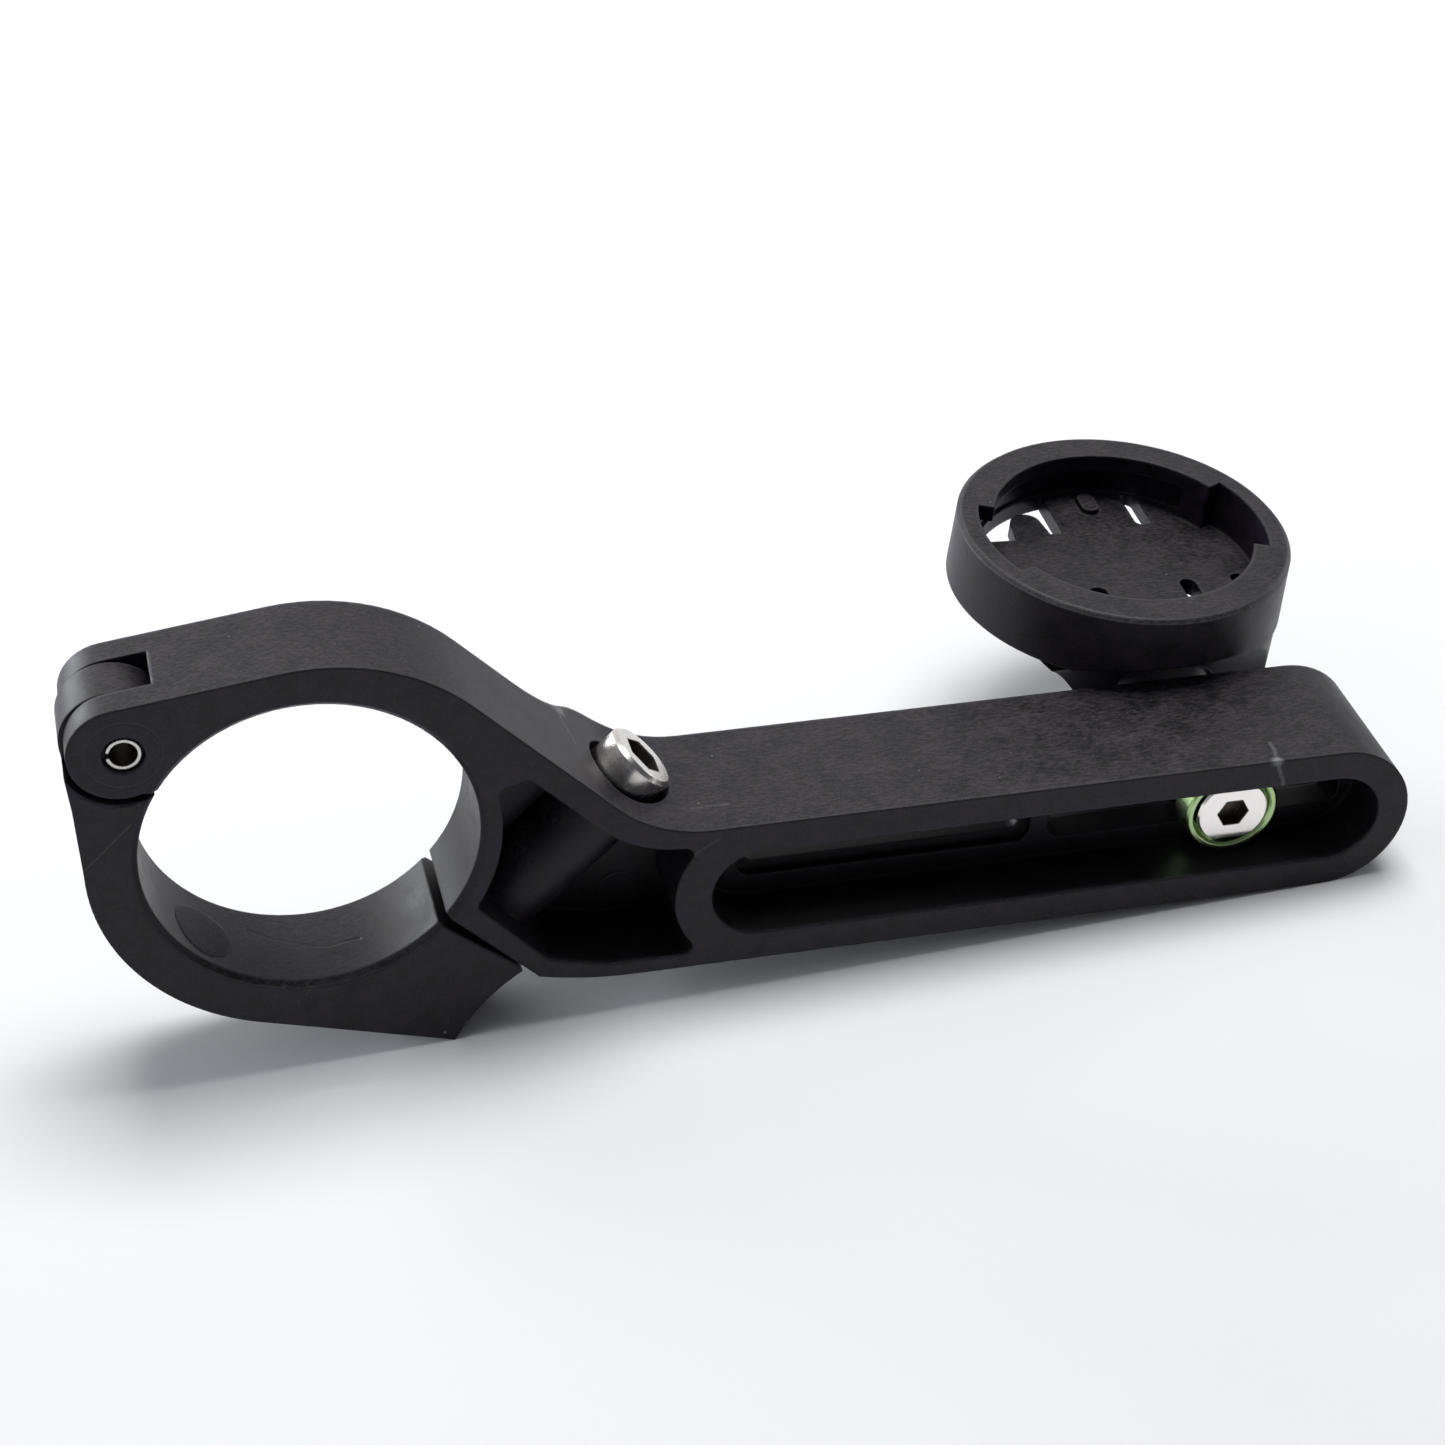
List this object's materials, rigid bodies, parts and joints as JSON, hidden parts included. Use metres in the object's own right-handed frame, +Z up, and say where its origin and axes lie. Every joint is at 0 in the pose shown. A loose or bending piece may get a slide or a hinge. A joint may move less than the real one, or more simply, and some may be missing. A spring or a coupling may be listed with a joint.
{
  "type": "bike computer mount",
  "caption": "Out-front handlebar mount: hinged round clamp, long slotted channel arm, and a sliding, tilting cradle with a quarter-turn flange for a small bike computer.",
  "frame": {"origin": "on the axis of the handlebar bore, at the middle of the clamp's width", "axes": "+Y along the handlebar, +X out along the arm, +Z up, square to the arm's top face"},
  "size_m": [0.1337, 0.0499, 0.0456],
  "materials": {
    "arm": "matte, glass-filled, with a fine grain",
    "lower_clamp": "matte, glass-filled, with a fine grain",
    "hinge_pin": "dark spring steel",
    "clamp_bolt": "stainless, lightly brushed",
    "clamp_insert": "plain brass colour",
    "cup_washer": "pale green anodised",
    "cradle_screw": "silver with turning rings",
    "cradle": "matte, glass-filled, with a fine grain",
    "cradle_insert": "plain brass colour"
  },
  "bodies": {
    "body": {"arm": "arm", "hinge_pin": "hinge_pin"},
    "lower_half": {"lower_clamp": "lower_clamp", "clamp_insert": "clamp_insert"},
    "bolt": {"clamp_bolt": "clamp_bolt"},
    "slider": {"cup_washer": "cup_washer", "cradle_screw": "cradle_screw"},
    "cradle": {"cradle": "cradle", "cradle_insert": "cradle_insert"}
  },
  "joints": [
    {"name": "clamp_hinge", "type": "hinge", "parent": "body", "child": "lower_half", "pos_m": [-0.0162, 0, 0.013], "axis": [0, 1, 0], "range_deg": [0, 70]},
    {"name": "clamp_bolt_travel", "type": "slide", "parent": "body", "child": "bolt", "axis": [0.7071, 0, 0.7071], "range_m": [0, 0.0147]},
    {"name": "cradle_slide", "type": "slide", "parent": "body", "child": "slider", "axis": [1, 0, 0], "range_m": [-0.016, 0.0095]},
    {"name": "cradle_tilt", "type": "hinge", "parent": "slider", "child": "cradle", "pos_m": [0.0941, 0, -0.0118], "axis": [0, 1, 0], "range_deg": [-9, 18]}
  ],
  "couplings": [
    {"joint": "clamp_bolt_travel", "follows": "clamp_hinge", "m_per_rad": 0.012}
  ]
}
